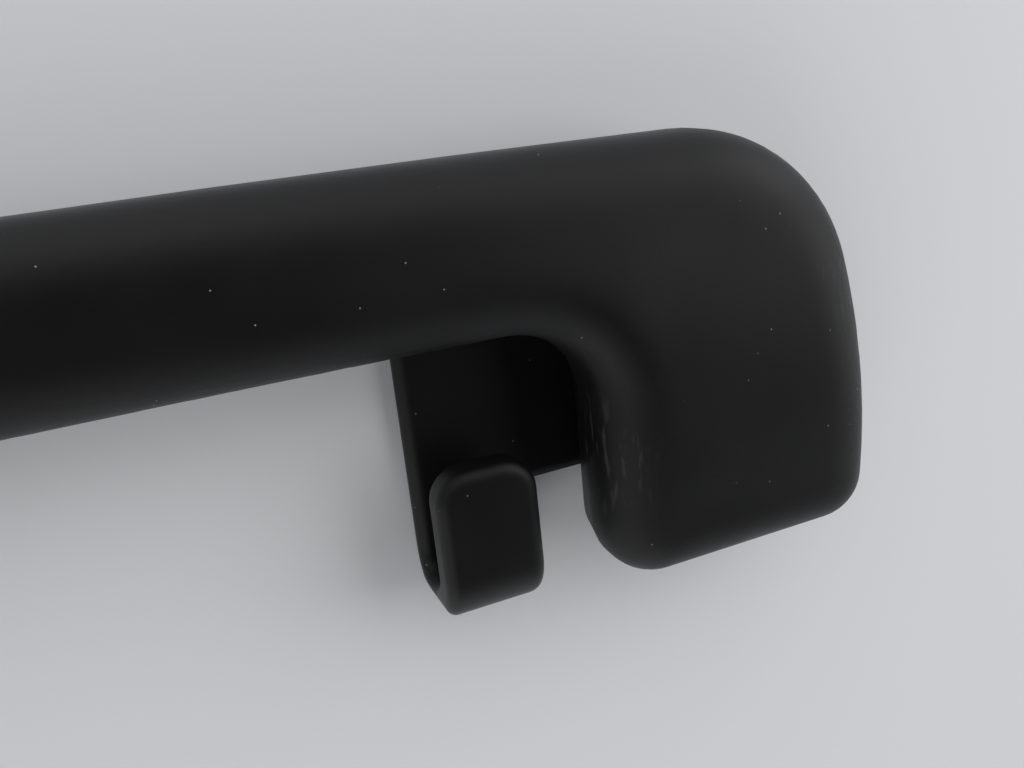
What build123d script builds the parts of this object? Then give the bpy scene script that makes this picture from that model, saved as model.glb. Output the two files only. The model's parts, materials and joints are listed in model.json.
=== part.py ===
from build123d import *
import os
from math import pi, radians, sqrt, tan

# Folding roof grab handle with a coat hook at one end.
# Millimetres. +X runs along the bar towards the hook end, +Z is up, and the front faces -Y.
# The origin lies on the roof face (Y = 0), midway between the two mounting-screw axes.
# A depth is a distance in front of the roof face, and a height is taken from the pad's bottom.

# Front view of the handle
overall_length = 232.0
overall_height = 54.8
pad_width = 38.4
bar_height = 19.7
arch_drop = 1.6
side_bow_radius = 120.0
side_bow_height = 7.0
shoulder_radius = 22.5
inner_corner_radius = 11.0
bottom_outer_radius = 6.8
bottom_inner_radius = 7.4

# Depth of the handle
face_depth = 19.5
crown_drop = 1.6
parting_depth = 10.6
rim_depth = 4.0
back_draft = 14.0
front_round = 6.2
rim_round = 3.0

# Hollow of each pad
pocket_width = 28.0
pocket_top_height = 45.5
pocket_outer_radius = 16.0
pocket_inner_radius = 5.0
front_wall = 2.7
hinge_gap = 1.2
stop_gap = 0.5

# Hinge
screw_height = 31.4
axis_height = 8.4
axis_depth = 10.8
knuckle_radius = 4.8
pin_radius = 2.0
pin_length = 32.4
pin_chamfer = 0.4
pin_end_play = 0.2
running_clearance = 0.06
seat_clearance = 0.02
snap_slot = 3.4

# Bracket behind each pad
base_width = 24.0
base_bottom_height = 14.0
base_top_height = 44.2
base_thickness = 3.0
base_top_radius = 11.5
base_bottom_radius = 3.0
ear_thickness = 3.5
ear_gap = 17.0
ear_root_height = 7.0
boss_width = 15.4
boss_height = 13.4
boss_depth = 8.0
boss_radius = 3.5

# Mounting hole, its steel bush and the snap-on cover over the screw's head
screw_hole_radius = 3.3
bush_radius = 5.0
bush_chamfer = 0.4
cover_wall = 1.2
cover_clearance = 0.1
cover_depth = 14.2
cover_round = 1.0

# Coat hook
hook_centre_from_end = 52.4
hook_width = 12.6
hook_thickness = 2.8
hook_reach = 13.2
hook_gap = 5.8
hook_top_height = 19.3
hook_bottom_height = -1.0
hook_tip_radius = 4.2
hook_tip_margin = 0.8
hook_edge_round = 1.3
hook_plate_bottom = 11.7
hook_plate_top = 38.0
hook_plate_radius = 4.0
hook_fillet = 4.0

# Return spring at the hook end
wire_radius = 0.75
coil_radius = 3.6
coil_turns = 5.5
coil_length = 10.5
spring_leg = 9.5
spring_rest_height = 4.0
catch_width = 3.4
catch_height = 3.6
catch_back = 2.4
leg_clearance = 0.1

# Rotary damper at the plain end
damper_radius = 5.0
damper_length = 15.0
damper_wall = 0.9
damper_end_wall = 1.6
rotor_sleeve_radius = 3.0
rotor_drum_radius = 3.7
rotor_drum_length = 7.0
rotor_key_width = 3.0
rotor_key_length = 1.6
seal_radius = 0.5
fin_thickness = 2.0
fin_length = 6.0
fin_reach = 8.2
fork_thickness = 2.0
fork_height = 3.0
fin_clearance = 0.1

# Rubber buffer that stops each end as it closes
buffer_radius = 2.2
buffer_stem_radius = 1.2
buffer_stem_length = 3.0
buffer_height = 42.3
buffer_shelf_depth = 7.4
buffer_shelf_width = 8.0
buffer_gap = 0.3
buffer_dome = 0.8

# Places worked out from the sizes above
half_length = overall_length / 2
pad_x = half_length - pad_width / 2
bottom_z = -screw_height
axis_z = bottom_z + axis_height
top_z = bottom_z + overall_height
pocket_top_z = bottom_z + pocket_top_height
pocket_depth = face_depth - front_wall
relief_radius = axis_height
pocket_floor_radius = knuckle_radius + hinge_gap
ends = {"hook_end": 1, "plain_end": -1}
hinge_axis = (-axis_depth, axis_z)
bore_length = pin_length + 2 * pin_end_play
buffer_z = bottom_z + buffer_height
shelf_bottom_z = buffer_z - buffer_radius - buffer_gap
cover_skin = cover_clearance + cover_wall
hook_x = half_length - hook_centre_from_end
hook_top_z = bottom_z + hook_top_height
hook_bottom_z = bottom_z + hook_bottom_height
hook_tip_z = hook_bottom_z - hook_tip_margin
hook_bend_z = hook_bottom_z + hook_reach / 2
hook_plate_bottom_z = bottom_z + hook_plate_bottom
hook_plate_top_z = bottom_z + hook_plate_top
fillet_x = hook_x + hook_width / 2 - hook_edge_round + hook_fillet
spring_x = pad_x
spring_rest_depth = axis_depth - coil_radius - wire_radius - leg_clearance
catch_depth = axis_depth + coil_radius - catch_back
catch_z = axis_z + pocket_floor_radius + catch_height / 2 - hinge_gap
leg_lean = spring_leg * coil_length / coil_turns / (2 * pi * coil_radius)
fork_width = fin_length + 2 * fork_thickness
fork_z = axis_z + damper_radius + hinge_gap / 2
fork_back = fin_thickness / 2 + fork_thickness
seal_ring_radius = (rotor_sleeve_radius + damper_radius - damper_wall) / 2


def front_plane(depth):
    """Plane parallel to the roof, this far in front of it, with X across and Z up."""
    return Plane.XZ.offset(depth)


def side_plane(x):
    """Plane across the handle at this X, with Y across and Z up."""
    return Plane.YZ.offset(x)


def grip_outline(depth, inset):
    """Front view of the handle at this depth: an arched bar that runs into a rounded pad at each end."""
    foot_z = bottom_z + inset
    crest_z = top_z - inset
    under_crest_z = top_z - bar_height + inset
    shoulder_z = crest_z - arch_drop
    bow_z = bottom_z + side_bow_height
    bow_radius = side_bow_radius - inset
    bow_x = half_length - side_bow_radius
    shoulder_x = bow_x + sqrt(bow_radius**2 - (shoulder_z - bow_z) ** 2)
    foot_x = bow_x + sqrt(bow_radius**2 - (bow_z - foot_z) ** 2)
    inner_x = half_length - pad_width + inset
    arch_radius = (shoulder_x**2 + arch_drop**2) / (2 * arch_drop)
    arch_z = crest_z - arch_radius
    under_z = arch_z + sqrt((under_crest_z - arch_z) ** 2 - inner_x**2)
    with BuildSketch(front_plane(depth)) as outline:
        with BuildLine():
            ThreePointArc((-shoulder_x, shoulder_z), (0, crest_z), (shoulder_x, shoulder_z))
            ThreePointArc((-inner_x, under_z), (0, under_crest_z), (inner_x, under_z))
            for side in ends.values():
                bow_end_x = half_length - inset
                ThreePointArc(
                    (side * shoulder_x, shoulder_z), (side * bow_end_x, bow_z), (side * foot_x, foot_z)
                )
                Polyline((side * foot_x, foot_z), (side * inner_x, foot_z), (side * inner_x, under_z))
        make_face()
        fillet(vertices().group_by(Axis.Y)[1], inner_corner_radius + inset)
        fillet(vertices().group_by(Axis.Y)[-1], shoulder_radius - inset)
        feet = vertices().group_by(Axis.Y)[0].sort_by(Axis.X)
        fillet([feet[0], feet[-1]], bottom_outer_radius - inset)
        feet = vertices().group_by(Axis.Y)[0].sort_by(Axis.X)
        fillet(feet[1:-1], bottom_inner_radius - inset)
    return outline.sketch


parting_outline = grip_outline(parting_depth, 0)
rim_outline = grip_outline(rim_depth, (parting_depth - rim_depth) * tan(radians(back_draft)))

with BuildPart() as handle_grip:
    # Bar and pads: straight in front of the parting line, drafted behind it
    extrude(parting_outline, amount=face_depth - parting_depth)
    loft([parting_outline, rim_outline], ruled=True)
    # The front is slightly crowned from top to bottom
    with BuildSketch(side_plane(0)):
        with BuildLine():
            ThreePointArc(
                (crown_drop - face_depth, bottom_z),
                (-face_depth, bottom_z + overall_height / 2),
                (crown_drop - face_depth, top_z),
            )
            Polyline(
                (crown_drop - face_depth, top_z),
                (0, top_z),
                (0, bottom_z),
                (crown_drop - face_depth, bottom_z),
            )
        make_face()
    extrude(amount=half_length, both=True, mode=Mode.INTERSECT)
    fillet(faces().sort_by(Axis.Y)[0].edges(), front_round)
    fillet(faces().sort_by(Axis.Y)[-1].edges(), rim_round)
    # Behind the hinge axis the bottom of each pad is round about that axis, so it clears the roof
    with BuildSketch(side_plane(0)):
        with Locations(hinge_axis):
            Rectangle(axis_depth, axis_height, align=(Align.MIN, Align.MAX))
            Circle(relief_radius, mode=Mode.SUBTRACT)
    extrude(amount=half_length, both=True, mode=Mode.SUBTRACT)
    for side in ends.values():
        # Hollow of the pad, open at the back
        with BuildSketch(front_plane(0)):
            with Locations((side * pad_x, axis_z)):
                Rectangle(pocket_width, pocket_top_height - axis_height, align=(Align.CENTER, Align.MIN))
            fillet(vertices().sort_by_distance((0, pocket_top_z))[0], pocket_inner_radius)
            fillet(vertices().sort_by_distance((side * half_length, pocket_top_z))[0], pocket_outer_radius)
        extrude(amount=pocket_depth, mode=Mode.SUBTRACT)
        # Room for the knuckles, and the open back below the hinge. What is left of the bottom wall
        # meets the ears when the handle is fully down
        with BuildSketch(side_plane(side * pad_x - pocket_width / 2)):
            with Locations(hinge_axis):
                Circle(pocket_floor_radius)
            with Locations((-axis_depth - stop_gap, axis_z)):
                Rectangle(axis_depth + stop_gap, axis_height, align=(Align.MIN, Align.MAX))
        extrude(amount=pocket_width, mode=Mode.SUBTRACT)
        # Blind bearings for the hinge pin in the side walls, with a snap-in slot from the back
        with BuildSketch(side_plane(side * pad_x - bore_length / 2)):
            with Locations(hinge_axis):
                Circle(pin_radius + running_clearance)
                Rectangle(axis_depth, snap_slot, align=(Align.MIN, Align.CENTER))
        extrude(amount=bore_length, mode=Mode.SUBTRACT)
        # Shelf under the top wall, with a socket for the rubber buffer
        with BuildSketch(front_plane(buffer_shelf_depth)):
            with Locations((side * pad_x, shelf_bottom_z)):
                Rectangle(buffer_shelf_width, pocket_top_z - shelf_bottom_z, align=(Align.CENTER, Align.MIN))
        extrude(amount=pocket_depth - buffer_shelf_depth)
        with BuildSketch(front_plane(buffer_shelf_depth)):
            with Locations((side * pad_x, buffer_z)):
                Circle(buffer_stem_radius + seat_clearance)
        extrude(amount=buffer_stem_length + seat_clearance, mode=Mode.SUBTRACT)
    # Catch round the spring's moving leg, at the hook end
    with BuildSketch(front_plane(catch_depth)):
        with Locations((spring_x - coil_length / 2 - leg_lean, catch_z)):
            Rectangle(catch_width, catch_height)
    extrude(amount=pocket_depth - catch_depth)
    with BuildSketch(Plane.XY.offset(catch_z)):
        with Locations((spring_x - coil_length / 2 - leg_lean, -axis_depth - coil_radius)):
            Rectangle(2 * (wire_radius + leg_clearance) + leg_lean, 2 * (wire_radius + leg_clearance))
    extrude(amount=catch_height, both=True, mode=Mode.SUBTRACT)
    # Fork round the damper's fin, at the plain end
    with BuildSketch(Plane.XY.offset(fork_z)):
        with Locations((-pad_x, -pocket_depth)):
            Rectangle(fork_width, fork_back - axis_depth + pocket_depth, align=(Align.CENTER, Align.MIN))
        with Locations((-pad_x, -axis_depth)):
            Rectangle(
                fin_length + 2 * fin_clearance, fin_thickness + 2 * fin_clearance, mode=Mode.SUBTRACT
            )
    extrude(amount=fork_height)


def bracket_base(side):
    """Base plate against the roof, with its top corners following the pad's hollow."""
    with BuildSketch(front_plane(0)) as plate:
        with Locations((side * pad_x, bottom_z + base_bottom_height)):
            Rectangle(base_width, base_top_height - base_bottom_height, align=(Align.CENTER, Align.MIN))
        fillet(vertices().group_by(Axis.Y)[0], base_bottom_radius)
        fillet(vertices().group_by(Axis.Y)[-1], base_top_radius)
    return plate.sketch


def screw_boss(side):
    """Raised seat round the mounting screw."""
    with BuildSketch(front_plane(base_thickness)) as boss:
        with Locations((side * pad_x, 0)):
            RectangleRounded(boss_width, boss_height, boss_radius)
    return boss.sketch


def screw_bore(side):
    """Hole that takes the steel bush."""
    with BuildSketch(front_plane(0)) as bore:
        with Locations((side * pad_x, 0)):
            Circle(bush_radius + seat_clearance)
    return bore.sketch


def ear(x):
    """Hinge ear: a knuckle about the axis that runs back to the base plate."""
    with BuildSketch(side_plane(x)) as profile:
        with Locations(hinge_axis):
            Circle(knuckle_radius)
        with Locations((0, bottom_z + base_bottom_height)):
            Rectangle(base_thickness, ear_root_height, align=(Align.MAX, Align.MIN))
        make_hull()
        with Locations(hinge_axis):
            Circle(pin_radius + seat_clearance, mode=Mode.SUBTRACT)
    return profile.sketch


with BuildPart() as hook_bracket:
    # The hook: a strap that turns forward at the bottom and up again into a broad tongue
    with BuildSketch(side_plane(hook_x - hook_width / 2)):
        with Locations((0, hook_bend_z)):
            Rectangle(hook_reach, hook_top_z - hook_bend_z, align=(Align.MAX, Align.MIN))
        with Locations((-hook_reach / 2, hook_bend_z)):
            Circle(hook_reach / 2)
        with Locations((-hook_thickness - hook_gap / 2, hook_bend_z)):
            Circle(hook_gap / 2, mode=Mode.SUBTRACT)
            Rectangle(
                hook_gap, hook_top_z - hook_bend_z, align=(Align.CENTER, Align.MIN), mode=Mode.SUBTRACT
            )
    extrude(amount=hook_width)
    with BuildSketch(front_plane(0)):
        with Locations((hook_x, (hook_top_z + hook_tip_z) / 2)):
            RectangleRounded(hook_width, hook_top_z - hook_tip_z, hook_tip_radius)
    extrude(amount=hook_reach, mode=Mode.INTERSECT)
    # The strap goes on up, and all of the hook's long edges are rounded
    with BuildSketch(front_plane(0)):
        with Locations((hook_x, hook_bend_z)):
            Rectangle(hook_width, hook_plate_top_z - hook_bend_z, align=(Align.CENTER, Align.MIN))
        fillet(vertices().group_by(Axis.Y)[-1], hook_plate_radius)
    extrude(amount=hook_thickness)
    hook_sides = faces().sort_by(Axis.X)
    fillet(hook_sides[0].edges() + hook_sides[-1].edges(), hook_edge_round)
    # Plate from the strap to the base, with a fillet under it
    with BuildSketch(front_plane(0)):
        with Locations((hook_x, hook_plate_bottom_z)):
            Rectangle(
                pad_x - hook_x, hook_plate_top_z - hook_plate_bottom_z, align=(Align.MIN, Align.MIN)
            )
            Rectangle(fillet_x - hook_x, hook_fillet, align=(Align.MIN, Align.MAX))
        with Locations((fillet_x, hook_plate_bottom_z - hook_fillet)):
            Circle(hook_fillet, mode=Mode.SUBTRACT)
    extrude(amount=hook_thickness)
    # Base, screw boss and hinge ears
    extrude(bracket_base(1), amount=base_thickness)
    extrude(screw_boss(1), amount=boss_depth - base_thickness)
    extrude(screw_bore(1), amount=boss_depth, mode=Mode.SUBTRACT)
    for ear_x in (-ear_gap / 2 - ear_thickness, ear_gap / 2):
        extrude(ear(pad_x + ear_x), amount=ear_thickness)
    # Rest for the spring's fixed leg
    with BuildSketch(front_plane(base_thickness)):
        with Locations((pad_x + ear_gap / 2, bottom_z + base_bottom_height)):
            Rectangle(
                ear_gap / 2 - coil_length / 2 + wire_radius, spring_rest_height, align=(Align.MAX, Align.MIN)
            )
    extrude(amount=spring_rest_depth - base_thickness)

with BuildPart() as plain_bracket:
    extrude(bracket_base(-1), amount=base_thickness)
    extrude(screw_boss(-1), amount=boss_depth - base_thickness)
    extrude(screw_bore(-1), amount=boss_depth, mode=Mode.SUBTRACT)
    for ear_x in (-ear_gap / 2 - ear_thickness, ear_gap / 2):
        extrude(ear(-pad_x + ear_x), amount=ear_thickness)
    # Slot in the inner ear that keeps the damper's rotor from turning
    with BuildSketch(side_plane(-pad_x + ear_gap / 2)):
        with Locations(hinge_axis):
            Rectangle(rotor_key_width + 2 * seat_clearance, 2 * (rotor_sleeve_radius + seat_clearance))
    extrude(amount=rotor_key_length + seat_clearance, mode=Mode.SUBTRACT)

with BuildPart() as return_spring:
    # The coil starts in front of the axis and ends behind it, and both legs point up
    with BuildLine() as wire:
        coil = Helix(
            pitch=coil_length / coil_turns,
            height=coil_length,
            radius=coil_radius,
            center=(spring_x - coil_length / 2, -axis_depth, axis_z),
            direction=(1, 0, 0),
            mode=Mode.PRIVATE,
        ).rotate(Axis((0, -axis_depth, axis_z), (1, 0, 0)), 90)
        add(coil)
        Line(coil @ 0 - (coil % 0) * spring_leg, coil @ 0)
        Line(coil @ 1, coil @ 1 + (coil % 1) * spring_leg)
    with BuildSketch(Plane(origin=wire.wire() @ 0, z_dir=wire.wire() % 0)):
        Circle(wire_radius)
    sweep(path=wire.wire(), is_frenet=True)

with BuildPart() as damper_case:
    with BuildSketch(side_plane(-pad_x - damper_length / 2)):
        with Locations(hinge_axis):
            Circle(damper_radius)
    extrude(amount=damper_length)
    # Fin that the handle's fork turns
    with BuildSketch(Plane.XY.offset(axis_z)):
        with Locations((-pad_x, -axis_depth)):
            Rectangle(fin_length, fin_thickness)
    extrude(amount=fin_reach)
    with BuildSketch(side_plane(-pad_x - damper_length / 2 + damper_end_wall)):
        with Locations(hinge_axis):
            Circle(damper_radius - damper_wall)
    extrude(amount=damper_length - damper_end_wall, mode=Mode.SUBTRACT)
    with BuildSketch(side_plane(-pad_x - damper_length / 2)):
        with Locations(hinge_axis):
            Circle(rotor_sleeve_radius + running_clearance)
    extrude(amount=damper_end_wall, mode=Mode.SUBTRACT)

with BuildPart() as damper_cap:
    with BuildSketch(side_plane(-pad_x + damper_length / 2 - damper_end_wall)):
        with Locations(hinge_axis):
            Circle(damper_radius - damper_wall - seat_clearance)
            Circle(rotor_sleeve_radius + running_clearance, mode=Mode.SUBTRACT)
    extrude(amount=damper_end_wall)

with BuildPart() as damper_rotor:
    # Sleeve on the hinge pin, with a drum in the fluid and a key in the bracket's ear
    with BuildSketch(side_plane(-pad_x - damper_length / 2)):
        with Locations(hinge_axis):
            Circle(rotor_sleeve_radius)
    extrude(amount=damper_length / 2 + ear_gap / 2)
    with BuildSketch(side_plane(-pad_x - rotor_drum_length / 2)):
        with Locations(hinge_axis):
            Circle(rotor_drum_radius)
    extrude(amount=rotor_drum_length)
    with BuildSketch(side_plane(-pad_x + ear_gap / 2)):
        with Locations(hinge_axis):
            Rectangle(rotor_key_width, 2 * rotor_sleeve_radius)
    extrude(amount=rotor_key_length)
    with BuildSketch(side_plane(-pad_x)):
        with Locations(hinge_axis):
            Circle(pin_radius + running_clearance)
    extrude(amount=pin_length / 2, both=True, mode=Mode.SUBTRACT)

pieces = {
    "handle_grip": handle_grip,
    "hook_bracket": hook_bracket,
    "plain_bracket": plain_bracket,
    "return_spring": return_spring,
    "damper_case": damper_case,
    "damper_cap": damper_cap,
    "damper_rotor": damper_rotor,
}

for name, side in (("damper_seal_outer", -1), ("damper_seal_inner", 1)):
    # Rubber ring between the rotor's drum and the damper's end
    seal_x = side * (rotor_drum_length / 2 + damper_length / 2 - damper_end_wall) / 2
    with BuildPart() as seal:
        with BuildSketch(Plane.XY.offset(axis_z)):
            with Locations((seal_x - pad_x, seal_ring_radius - axis_depth)):
                Circle(seal_radius)
        revolve(axis=Axis((0, -axis_depth, axis_z), (1, 0, 0)))
    pieces[name] = seal

for end, side in ends.items():
    with BuildPart() as pin:
        with BuildSketch(side_plane(side * pad_x - pin_length / 2)):
            with Locations(hinge_axis):
                Circle(pin_radius)
        extrude(amount=pin_length)
        chamfer(edges().filter_by(GeomType.CIRCLE), pin_chamfer)
    pieces[end + "_pin"] = pin

    # Steel bush that the mounting screw clamps against the roof
    with BuildPart() as bush:
        with BuildSketch(front_plane(0)):
            with Locations((side * pad_x, 0)):
                Circle(bush_radius)
                Circle(screw_hole_radius, mode=Mode.SUBTRACT)
        extrude(amount=boss_depth)
        chamfer(edges().filter_by(GeomType.CIRCLE).sort_by(SortBy.RADIUS)[-2:], bush_chamfer)
    pieces[end + "_bush"] = bush

    # Cover over the screw's head, pressed on the boss
    with BuildPart() as cover:
        with BuildSketch(front_plane(base_thickness)):
            with Locations((side * pad_x, 0)):
                RectangleRounded(
                    boss_width + 2 * cover_skin, boss_height + 2 * cover_skin, boss_radius + cover_skin
                )
        extrude(amount=cover_depth - base_thickness)
        fillet(faces().sort_by(Axis.Y)[0].edges(), cover_round)
        with BuildSketch(front_plane(base_thickness)):
            with Locations((side * pad_x, 0)):
                RectangleRounded(
                    boss_width + 2 * cover_clearance,
                    boss_height + 2 * cover_clearance,
                    boss_radius + cover_clearance,
                )
        extrude(amount=cover_depth - cover_wall - base_thickness, mode=Mode.SUBTRACT)
    pieces[end + "_screw_cover"] = cover

    # Rubber buffer in the handle's shelf, facing the base plate
    with BuildPart() as buffer:
        with BuildSketch(front_plane(base_thickness + buffer_gap)):
            with Locations((side * pad_x, buffer_z)):
                Circle(buffer_radius)
        extrude(amount=buffer_shelf_depth - base_thickness - buffer_gap)
        fillet(faces().sort_by(Axis.Y)[-1].edges(), buffer_dome)
        with BuildSketch(front_plane(buffer_shelf_depth)):
            with Locations((side * pad_x, buffer_z)):
                Circle(buffer_stem_radius)
        extrude(amount=buffer_stem_length)
    pieces[end + "_buffer"] = buffer

for name, piece in pieces.items():
    piece.part.label = name
    export_step(piece.part, f"parts/{name}.step")
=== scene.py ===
import json
from math import radians

import bpy
from mathutils import Matrix, Vector

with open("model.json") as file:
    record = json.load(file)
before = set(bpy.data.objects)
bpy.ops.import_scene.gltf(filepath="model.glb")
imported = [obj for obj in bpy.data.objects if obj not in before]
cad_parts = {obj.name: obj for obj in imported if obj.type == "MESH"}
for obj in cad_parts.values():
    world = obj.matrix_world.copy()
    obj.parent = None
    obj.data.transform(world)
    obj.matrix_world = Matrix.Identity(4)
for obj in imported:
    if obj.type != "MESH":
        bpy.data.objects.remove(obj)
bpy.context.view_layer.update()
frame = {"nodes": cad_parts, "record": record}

MM = 0.001

# Camera at the photo's viewing angle, in the part's frame, with angles in degrees and the lens in millimetres
CAMERA_PLACE = Vector((29.25, -112.3, 34.05)) * MM
CAMERA_AZIMUTH = 21.25
CAMERA_ELEVATION = 19.1
CAMERA_ROLL = -6.12
CAMERA_LENS = 35.2
CAMERA_CLIP = 5.0 * MM

# The handle lies on its back on a pale sheet, which is the plane just behind its mounts
SHEET_Y = 0.4 * MM
SHEET_SIZE = 3.0
SHEET_COLOUR = (0.84, 0.845, 0.86, 1)
SHEET_ROUGHNESS = 0.9

# Soft lights: name, place, the point that it faces, size and power
LIGHTS = (
    ("window_light", (0.90, -0.68, 0.30), (0.08, 0, 0), 1.2, 6.3),
    ("ceiling_light", (-0.15, -0.50, 0.90), (0.06, 0, 0), 1.4, 3.8),
    ("fill_light", (-0.60, -0.60, -0.80), (0.04, 0, 0), 1.2, 3.2),
    ("back_light", (0.10, 0.90, 0.45), (0, 0, 0), 0.9, 6.0),
)

# The room's light is weaker from the front and from below: its share there, and the band over which it rises to full
ROOM_TINT = (0.95, 0.97, 1.0, 1)
ROOM_FRONT = 0.03
ROOM_FRONT_BAND = (-0.95, -0.15)
ROOM_LOW = 0.75
ROOM_LOW_BAND = (-0.7, 0.5)
# How pale the room itself looks to the camera
ROOM_SEEN = 0.7

# Moulded plastic: scale of its cloudy colour and roughness, how far the roughness wanders, and its grain
PLASTIC_SPECULAR = 0.25
PLASTIC_CLOUDS = 45.0
PLASTIC_PATCHES = 90.0
PLASTIC_WANDER = 0.03
PLASTIC_GRAIN_STRENGTH = 0.25
PLASTIC_GRAIN_DEPTH = 0.02 * MM

# Steel: the same, with a roughness that wanders further up than down
STEEL_CLOUDS = 260.0
STEEL_PATCHES = 520.0
STEEL_WANDER_DOWN = 0.06
STEEL_WANDER_UP = 0.08
STEEL_GRAIN = 3000.0
STEEL_GRAIN_STRENGTH = 0.15
STEEL_GRAIN_DEPTH = 0.01 * MM

# Radius over which the shading flows from a face into its rounded edges
GRIP_SOFTEN = 6.0 * MM
BRACKET_SOFTEN = 1.5 * MM

# Dust: width of a cell, size of a speck in cells, and the band of a cell's random value that decides if it has one
SPECK_CELL = 1.7 * MM
SPECK_SIZE = 0.06
SPECK_BAND = (0.72, 0.74)

# Worn places of the grip, in the part's frame, and their upright scratches
INNER_WALL_SCUFF = (78.0 * MM, -13.0 * MM, -14.0 * MM)
OUTER_EDGE_SCUFF = (113.0 * MM, -16.0 * MM, 4.0 * MM)
SCUFF_SPREAD = 9.0 * MM
SCUFF_SPACING = 0.8 * MM
SCUFF_STRETCH = 0.2
SCUFF_BAND = (0.56, 0.68)

# Colours, linear
GRIP_BLACK = (0.0030, 0.0030, 0.0034, 1)
GRIP_WORN = (0.0042, 0.0042, 0.0046, 1)
BRACKET_BLACK = (0.0046, 0.0046, 0.0048, 1)
BRACKET_GREY = (0.0062, 0.0062, 0.0062, 1)
DUST = (0.30, 0.30, 0.29, 1)
SCUFF = (0.032, 0.032, 0.032, 1)
ZINC = (0.58, 0.59, 0.60, 1)
ZINC_DULL = (0.40, 0.41, 0.42, 1)
SPRING_STEEL = (0.36, 0.35, 0.34, 1)
SPRING_DARK = (0.20, 0.19, 0.18, 1)
NATURAL_PLASTIC = (0.62, 0.58, 0.48, 1)
NATURAL_SHADE = (0.50, 0.46, 0.37, 1)
RUBBER = (0.018, 0.018, 0.018, 1)
RUBBER_GREY = (0.030, 0.030, 0.030, 1)

# Colour sockets of Blender's mix node, which repeats its sockets' names for each kind of data
MIX_A = 6
MIX_B = 7
MIX_RESULT = 2


class Shader:
    """A new material's nodes, with short ways to add and join them."""

    def __init__(self, name):
        self.material = bpy.data.materials.new(name)
        self.material.use_nodes = True
        self.tree = self.material.node_tree
        self.surface = self.tree.nodes["Principled BSDF"]
        self.place = self.add("ShaderNodeTexCoord").outputs["Object"]

    def add(self, kind, **inputs):
        """A node with these inputs set. An underscore stands for the space in an input's name."""
        node = self.tree.nodes.new(kind)
        for key, value in inputs.items():
            node.inputs[key.replace("_", " ")].default_value = value
        return node

    def join(self, output, socket):
        self.tree.links.new(output, socket)

    def set(self, name, value):
        self.surface.inputs[name].default_value = value

    def noise(self, scale, detail):
        node = self.add("ShaderNodeTexNoise", Scale=scale, Detail=detail)
        self.join(self.place, node.inputs["Vector"])
        return node.outputs["Fac"]

    def ramp(self, value, low, high, from_value=0.0, to_value=1.0):
        """The value's band from low to high, stretched to run from one value to the other."""
        node = self.add("ShaderNodeMapRange", From_Min=low, From_Max=high, To_Min=from_value, To_Max=to_value)
        self.join(value, node.inputs["Value"])
        return node.outputs["Result"]

    def multiply(self, a, b):
        node = self.add("ShaderNodeMath")
        node.operation = "MULTIPLY"
        self.join(a, node.inputs[0])
        self.join(b, node.inputs[1])
        return node.outputs["Value"]

    def mix(self, factor, a, b):
        """Two colours mixed, each of them a constant or another node's output."""
        node = self.add("ShaderNodeMix")
        node.data_type = "RGBA"
        self.join(factor, node.inputs["Factor"])
        for index, value in ((MIX_A, a), (MIX_B, b)):
            if isinstance(value, tuple):
                node.inputs[index].default_value = value
            else:
                self.join(value, node.inputs[index])
        return node.outputs[MIX_RESULT]

    def bump(self, height, strength, distance, soften=0.0):
        """Fine relief on the surface, over normals that are eased across the edges if soften is given."""
        node = self.add("ShaderNodeBump", Strength=strength, Distance=distance)
        if soften:
            eased = self.add("ShaderNodeBevel", Radius=soften)
            self.join(eased.outputs["Normal"], node.inputs["Normal"])
        self.join(height, node.inputs["Height"])
        self.join(node.outputs["Normal"], self.surface.inputs["Normal"])

    def near(self, point, radius):
        """1 round a point of the handle, falling to 0 at this distance from it."""
        node = self.add("ShaderNodeVectorMath")
        node.operation = "DISTANCE"
        self.join(self.place, node.inputs[0])
        node.inputs[1].default_value = point
        return self.ramp(node.outputs["Value"], radius * 0.5, radius, 1.0, 0.0)

    def scratches(self, point):
        """Fine upright scratches round a worn place."""
        scale = 1 / SCUFF_SPACING
        stretch = self.add("ShaderNodeMapping", Scale=(scale, scale, SCUFF_STRETCH * scale))
        self.join(self.place, stretch.inputs["Vector"])
        lines = self.add("ShaderNodeTexNoise", Scale=1.0, Detail=3.0)
        self.join(stretch.outputs["Vector"], lines.inputs["Vector"])
        return self.multiply(self.ramp(lines.outputs["Fac"], *SCUFF_BAND), self.near(point, SCUFF_SPREAD))

    def specks(self):
        """Few small dots: one in each of some cells."""
        cells = self.add("ShaderNodeTexVoronoi", Scale=1 / SPECK_CELL)
        self.join(self.place, cells.inputs["Vector"])
        dot = self.ramp(cells.outputs["Distance"], SPECK_SIZE * 0.6, SPECK_SIZE, 1.0, 0.0)
        chance = self.add("ShaderNodeSeparateColor")
        self.join(cells.outputs["Color"], chance.inputs["Color"])
        return self.multiply(dot, self.ramp(chance.outputs["Red"], *SPECK_BAND))


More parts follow.
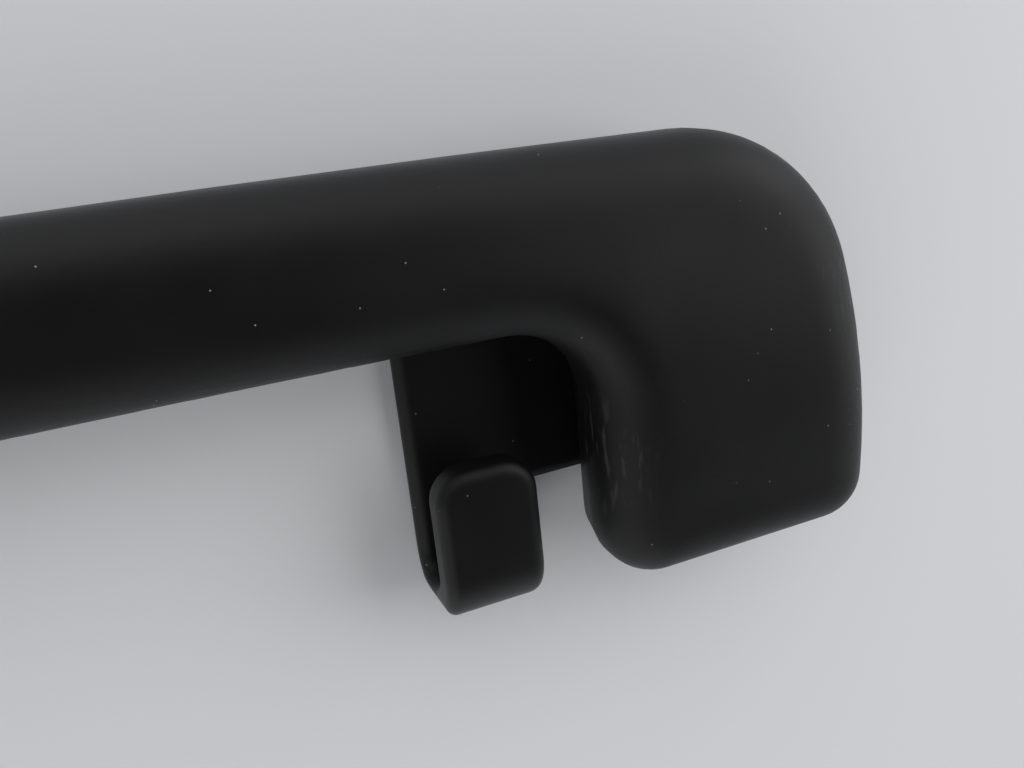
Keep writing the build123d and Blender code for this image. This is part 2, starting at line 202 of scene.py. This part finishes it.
def moulded(name, dark, light, roughness, grain, dusty=False, worn=(), soften=0.0):
    """Moulded plastic or rubber: faint cloudy colour, a fine grain and, where it is handled, dust and scratches."""
    shader = Shader(name)
    clouds = shader.ramp(shader.noise(PLASTIC_CLOUDS, 4.0), 0.35, 0.7)
    colour = shader.mix(clouds, dark, light)
    if dusty:
        colour = shader.mix(shader.specks(), colour, DUST)
    for point in worn:
        colour = shader.mix(shader.scratches(point), colour, SCUFF)
    shader.join(colour, shader.surface.inputs["Base Color"])
    shader.set("Specular IOR Level", PLASTIC_SPECULAR)
    patches = shader.noise(PLASTIC_PATCHES, 3.0)
    rough = shader.ramp(patches, 0.3, 0.7, roughness - PLASTIC_WANDER, roughness + PLASTIC_WANDER)
    shader.join(rough, shader.surface.inputs["Roughness"])
    shader.bump(shader.noise(1 / grain, 1.0), PLASTIC_GRAIN_STRENGTH, PLASTIC_GRAIN_DEPTH, soften)
    return shader.material


def metal(name, bright, dull, roughness):
    """Plated or drawn steel with a cloudy surface."""
    shader = Shader(name)
    clouds = shader.ramp(shader.noise(STEEL_CLOUDS, 5.0), 0.35, 0.65)
    shader.join(shader.mix(clouds, bright, dull), shader.surface.inputs["Base Color"])
    shader.set("Metallic", 1.0)
    patches = shader.noise(STEEL_PATCHES, 2.0)
    rough = shader.ramp(patches, 0.3, 0.7, roughness - STEEL_WANDER_DOWN, roughness + STEEL_WANDER_UP)
    shader.join(rough, shader.surface.inputs["Roughness"])
    shader.bump(shader.noise(STEEL_GRAIN, 1.0), STEEL_GRAIN_STRENGTH, STEEL_GRAIN_DEPTH)
    return shader.material


def sheet_material():
    """Pale sheet that shows only from the front, so that views from behind see the handle's back."""
    shader = Shader("pale_sheet")
    shader.set("Base Color", SHEET_COLOUR)
    shader.set("Roughness", SHEET_ROUGHNESS)
    from_behind = shader.add("ShaderNodeNewGeometry").outputs["Backfacing"]
    clear = shader.add("ShaderNodeBsdfTransparent")
    pick = shader.add("ShaderNodeMixShader")
    shader.join(from_behind, pick.inputs["Fac"])
    shader.join(shader.surface.outputs["BSDF"], pick.inputs[1])
    shader.join(clear.outputs["BSDF"], pick.inputs[2])
    shader.join(pick.outputs["Shader"], shader.tree.nodes["Material Output"].inputs["Surface"])
    return shader.material


def soft_light(name, place, target, size, power):
    """Square area light that faces a point on the handle."""
    data = bpy.data.lights.new(name, "AREA")
    data.size = size
    data.energy = power
    lamp = bpy.data.objects.new(name, data)
    lamp.location = place
    lamp.rotation_euler = (Vector(target) - Vector(place)).to_track_quat("-Z", "Y").to_euler()
    bpy.context.scene.collection.objects.link(lamp)


def soft_room():
    """Pale room all round, dark where the photographer stands and dimmer below."""
    world = bpy.data.worlds.new("soft_room")
    world.use_nodes = True
    tree = world.node_tree

    def math_node(operation):
        node = tree.nodes.new("ShaderNodeMath")
        node.operation = operation
        return node

    direction = tree.nodes.new("ShaderNodeSeparateXYZ")
    tree.links.new(tree.nodes.new("ShaderNodeTexCoord").outputs["Generated"], direction.inputs["Vector"])
    light = math_node("MULTIPLY")
    shares = (("Y", ROOM_FRONT_BAND, ROOM_FRONT), ("Z", ROOM_LOW_BAND, ROOM_LOW))
    for (axis, band, share), socket in zip(shares, light.inputs):
        level = tree.nodes.new("ShaderNodeMapRange")
        level.interpolation_type = "SMOOTHSTEP"
        level.inputs["From Min"].default_value = band[0]
        level.inputs["From Max"].default_value = band[1]
        level.inputs["To Min"].default_value = share
        tree.links.new(direction.outputs[axis], level.inputs["Value"])
        tree.links.new(level.outputs["Result"], socket)
    seen = math_node("MULTIPLY")
    seen.inputs[1].default_value = ROOM_SEEN
    tree.links.new(tree.nodes.new("ShaderNodeLightPath").outputs["Is Camera Ray"], seen.inputs[0])
    strength = math_node("MAXIMUM")
    tree.links.new(light.outputs["Value"], strength.inputs[0])
    tree.links.new(seen.outputs["Value"], strength.inputs[1])
    background = tree.nodes["Background"]
    background.inputs["Color"].default_value = ROOM_TINT
    tree.links.new(strength.outputs["Value"], background.inputs["Strength"])
    return world


# One material for each of the record's slots
materials = {
    "grip_black": moulded(
        "grip_plastic",
        GRIP_BLACK,
        GRIP_WORN,
        roughness=0.42,
        grain=0.35 * MM,
        dusty=True,
        worn=(INNER_WALL_SCUFF, OUTER_EDGE_SCUFF),
        soften=GRIP_SOFTEN,
    ),
    "bracket_black": moulded(
        "bracket_plastic",
        BRACKET_BLACK,
        BRACKET_GREY,
        roughness=0.40,
        grain=0.30 * MM,
        dusty=True,
        soften=BRACKET_SOFTEN,
    ),
    "pin_steel": metal("zinc_steel", ZINC, ZINC_DULL, roughness=0.30),
    "spring_steel": metal("drawn_steel", SPRING_STEEL, SPRING_DARK, roughness=0.36),
    "damper_plastic": moulded(
        "natural_plastic", NATURAL_PLASTIC, NATURAL_SHADE, roughness=0.40, grain=0.30 * MM
    ),
    "buffer_rubber": moulded("soft_rubber", RUBBER, RUBBER_GREY, roughness=0.75, grain=0.20 * MM),
}

for subpart in frame["record"]["subparts"]:
    node = frame["nodes"][subpart["node"]]
    node.data.materials.clear()
    node.data.materials.append(materials[subpart["material_slot"]])

# Pale sheet behind the handle, which lets the back light through to the handle's back
bpy.ops.mesh.primitive_plane_add(size=SHEET_SIZE, location=(0, SHEET_Y, 0), rotation=(radians(90), 0, 0))
sheet = bpy.context.object
sheet.name = "pale_sheet"
sheet.data.materials.append(sheet_material())
sheet.visible_shadow = False

# Light
for light_values in LIGHTS:
    soft_light(*light_values)
bpy.context.scene.world = soft_room()

# Camera
camera = bpy.data.objects.new("photo_camera", bpy.data.cameras.new("photo_camera"))
camera.data.lens = CAMERA_LENS
camera.data.clip_start = CAMERA_CLIP
turn = Matrix.Rotation(radians(-CAMERA_AZIMUTH), 4, "Z")
tilt = Matrix.Rotation(radians(90 - CAMERA_ELEVATION), 4, "X")
roll = Matrix.Rotation(radians(CAMERA_ROLL), 4, "Z")
camera.matrix_world = Matrix.Translation(CAMERA_PLACE) @ turn @ tilt @ roll
bpy.context.scene.collection.objects.link(camera)
bpy.context.scene.camera = camera

bpy.context.scene.view_settings.view_transform = "Standard"
